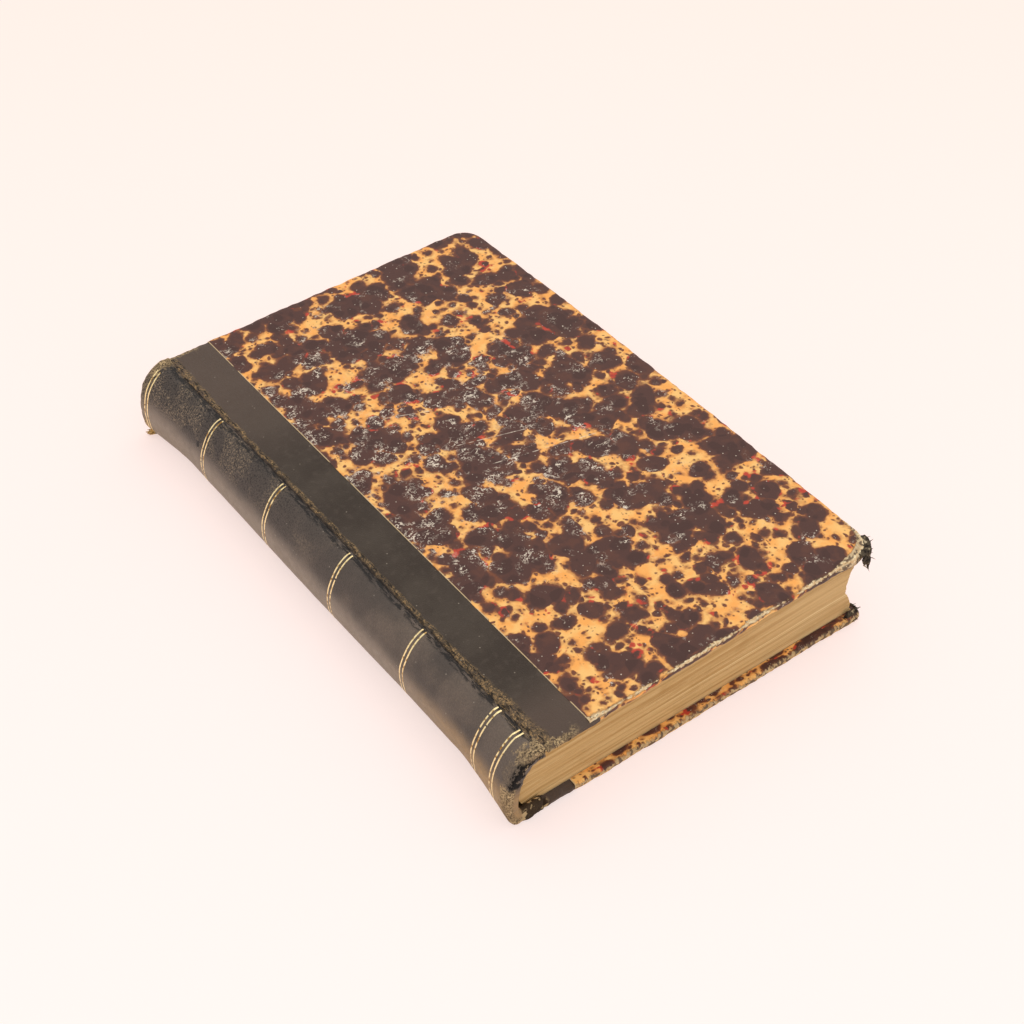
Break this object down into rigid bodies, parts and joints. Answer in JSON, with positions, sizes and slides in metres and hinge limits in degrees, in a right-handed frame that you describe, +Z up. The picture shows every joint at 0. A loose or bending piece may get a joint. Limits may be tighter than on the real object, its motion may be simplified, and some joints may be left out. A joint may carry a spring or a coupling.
{
  "type": "hardback book",
  "caption": "Closed quarter-leather hardback with a rounded hollow spine, gold lines, marbled paper sides, worn cloth corners and hinged covers.",
  "frame": {"origin": "on the surface that the closed book lies on, under the middle of its box", "axes": "+X from the spine to the fore edge, +Y from the tail to the head, +Z up from the back cover to the front cover"},
  "size_m": [0.1278, 0.19, 0.0287],
  "materials": {
    "page_edges": "matte",
    "cord": "matte",
    "lining": "matte",
    "spine_card": "matte",
    "spine_leather": "satin",
    "gold_leaf": "satin",
    "board": "matte",
    "side_leather": "satin",
    "marbled_paper": "satin",
    "corner_cloth": "matte",
    "endpaper": "matte"
  },
  "bodies": {
    "pages_and_spine": {"text_block": "page_edges", "sewing_cords": "cord", "back_lining": "lining", "spine_inlay": "spine_card", "spine_leather": "spine_leather", "head_cap_cord": "cord", "tail_cap_cord": "cord", "gold_fillets": "gold_leaf"},
    "back_cover": {"back_board": "board", "back_leather": "side_leather", "back_paper": "marbled_paper", "back_head_corner": "corner_cloth", "back_tail_corner": "corner_cloth", "back_pastedown": "endpaper"},
    "front_cover": {"front_board": "board", "front_leather": "side_leather", "front_paper": "marbled_paper", "front_head_corner": "corner_cloth", "front_tail_corner": "corner_cloth", "front_pastedown": "endpaper"}
  },
  "joints": [
    {"name": "front_cover_hinge", "type": "hinge", "parent": "pages_and_spine", "child": "front_cover", "pos_m": [-0.0524, 0, 0.0242], "axis": [0, -1, 0], "range_deg": [0, 175]},
    {"name": "back_cover_hinge", "type": "hinge", "parent": "pages_and_spine", "child": "back_cover", "pos_m": [-0.0524, 0, 0], "axis": [0, 1, 0], "range_deg": [0, 175]}
  ]
}
